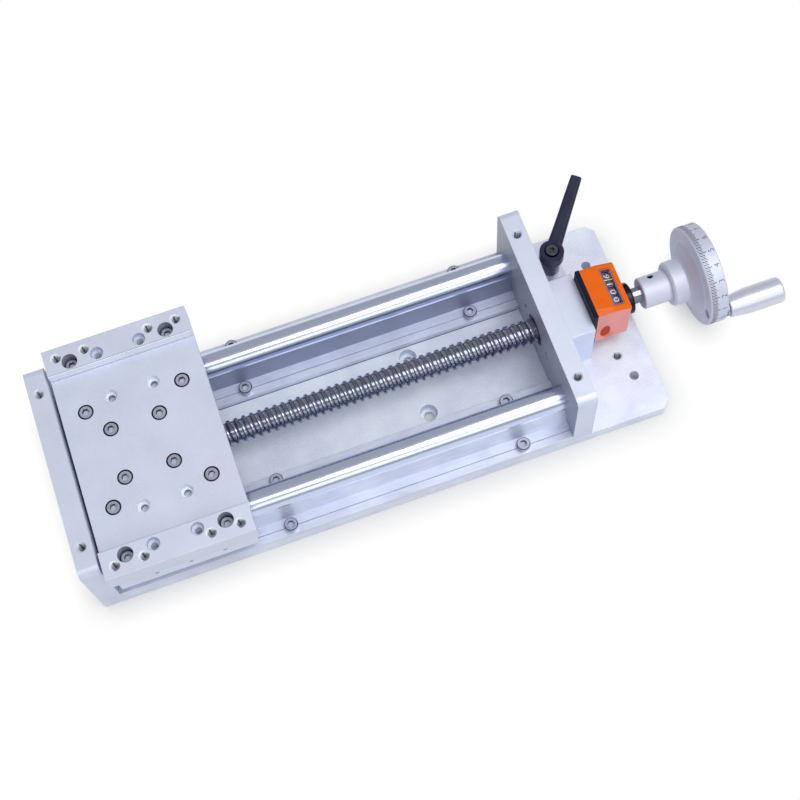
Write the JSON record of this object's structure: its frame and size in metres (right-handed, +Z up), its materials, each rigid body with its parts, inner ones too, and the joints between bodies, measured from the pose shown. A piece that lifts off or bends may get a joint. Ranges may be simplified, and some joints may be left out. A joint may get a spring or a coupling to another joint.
{
  "type": "ball screw slide module",
  "caption": "Manual single-axis slide module: a carriage on round rails, moved by a ball screw with a handwheel, a digital position counter and a clamping lever.",
  "frame": {"origin": "middle of the four counterbored mounting holes, on the base plate's underside; it is also midway between the end plates' outer faces", "axes": "+X along the travel towards the handwheel, +Y to the clamping lever's side, +Z up"},
  "size_m": [0.4563, 0.15, 0.0811],
  "materials": {
    "anodised_plate": "satin, finely milled",
    "anodised_block": "satin",
    "rail_support": "satin extrusion",
    "rail_shaft": "ground and polished",
    "screw_steel": "satin",
    "bearing_steel": "ground",
    "spring_steel": "satin",
    "set_screw": "black oxide",
    "bearing_liner": "ground",
    "seal_rubber": "matt",
    "ball_screw": "ground",
    "bush_black": "black oxide, satin",
    "counter_black": "fine grain",
    "counter_orange": "satin",
    "counter_plug": "satin",
    "counter_glass": "clear",
    "drum_black": "matt",
    "lever_black": "fine texture powder coat",
    "lever_screw": "satin",
    "wheel_metal": "satin turned",
    "handle_metal": "polished turned"
  },
  "bodies": {
    "frame": {"base_plate": "anodised_plate", "left_end_plate": "anodised_plate", "right_end_plate": "anodised_plate", "clamp_block": "anodised_block", "near_rail_support": "rail_support", "far_rail_support": "rail_support", "near_rail_shaft": "rail_shaft", "far_rail_shaft": "rail_shaft", "end_plate_screws": "screw_steel", "rail_screws": "screw_steel", "shaft_screws": "screw_steel", "clamp_block_screws": "screw_steel", "left_bearing_outer_ring": "bearing_steel", "right_bearing_outer_ring": "bearing_steel", "left_bearing_balls": "bearing_steel", "right_bearing_balls": "bearing_steel", "left_bearing_circlip": "spring_steel", "right_bearing_spacer": "spring_steel", "counter_base": "counter_black", "counter_housing": "counter_orange", "counter_plug": "counter_plug", "counter_window": "counter_glass", "counter_drum_axle": "bearing_steel"},
    "carriage": {"carriage_plate": "anodised_plate", "near_bearing_block": "anodised_block", "far_bearing_block": "anodised_block", "near_linear_bearings": "bearing_liner", "far_linear_bearings": "bearing_liner", "near_block_seals": "seal_rubber", "far_block_seals": "seal_rubber", "block_adjusters": "screw_steel", "bearing_block_screws": "screw_steel", "nut_housing": "anodised_block", "nut_housing_screws": "screw_steel", "ball_nut": "bearing_steel", "nut_wipers": "seal_rubber", "nut_flange_screws": "screw_steel"},
    "spindle": {"ball_screw": "ball_screw", "lock_nut": "bearing_steel", "left_bearing_inner_ring": "bearing_steel", "right_bearing_inner_ring": "bearing_steel", "left_journal_clip": "spring_steel", "counter_bush": "bush_black", "counter_set_screw": "set_screw", "wheel_key": "spring_steel", "handwheel": "wheel_metal", "handwheel_set_screw": "set_screw", "handle_spindle": "screw_steel"},
    "grip": {"handle_grip": "handle_metal"},
    "clamp_screw": {"clamp_stud": "bearing_steel", "lever_screw": "lever_screw", "lever_spring": "spring_steel"},
    "lever": {"clamp_lever": "lever_black"},
    "drum_1": {"counter_drum_1": "drum_black"},
    "drum_2": {"counter_drum_2": "drum_black"},
    "drum_3": {"counter_drum_3": "drum_black"},
    "drum_4": {"counter_drum_4": "drum_black"}
  },
  "joints": [
    {"name": "screw_spin", "type": "hinge", "parent": "frame", "child": "spindle", "pos_m": [0, 0, 0.035], "axis": [-1, 0, 0], "range_deg": [0, 14255.9]},
    {"name": "carriage_slide", "type": "slide", "parent": "frame", "child": "carriage", "axis": [1, 0, 0], "range_m": [0, 0.198]},
    {"name": "handle_spin", "type": "hinge", "parent": "spindle", "child": "grip", "pos_m": [0.2757, -0.027, 0.035], "axis": [1, 0, 0], "continuous": true},
    {"name": "clamp_turn", "type": "hinge", "parent": "frame", "child": "clamp_screw", "pos_m": [0.16735, 0.0314, 0.038], "axis": [0, 0, 1], "range_deg": [-60, 45]},
    {"name": "lever_lift", "type": "slide", "parent": "clamp_screw", "child": "lever", "axis": [0, 0, 1], "range_m": [0, 0.004], "stiffness_N_per_m": 300, "springref_m": -0.004, "deforming": ["lever_spring"]},
    {"name": "drum_1_spin", "type": "hinge", "parent": "frame", "child": "drum_1", "pos_m": [0.19201, 0, 0.05301], "axis": [0, 1, 0], "range_deg": [0, 71.28]},
    {"name": "drum_2_spin", "type": "hinge", "parent": "frame", "child": "drum_2", "pos_m": [0.19201, 0, 0.05301], "axis": [0, 1, 0], "range_deg": [0, 712.8]},
    {"name": "drum_3_spin", "type": "hinge", "parent": "frame", "child": "drum_3", "pos_m": [0.19201, 0, 0.05301], "axis": [0, 1, 0], "range_deg": [0, 7128]},
    {"name": "drum_4_spin", "type": "hinge", "parent": "frame", "child": "drum_4", "pos_m": [0.19201, 0, 0.05301], "axis": [0, 1, 0], "range_deg": [0, 71280]}
  ],
  "couplings": [
    {"joint": "carriage_slide", "follows": "screw_spin", "m_per_rad": 0.00079577},
    {"joint": "drum_1_spin", "follows": "screw_spin", "ratio": 0.005},
    {"joint": "drum_2_spin", "follows": "screw_spin", "ratio": 0.05},
    {"joint": "drum_3_spin", "follows": "screw_spin", "ratio": 0.5},
    {"joint": "drum_4_spin", "follows": "screw_spin", "ratio": 5}
  ]
}
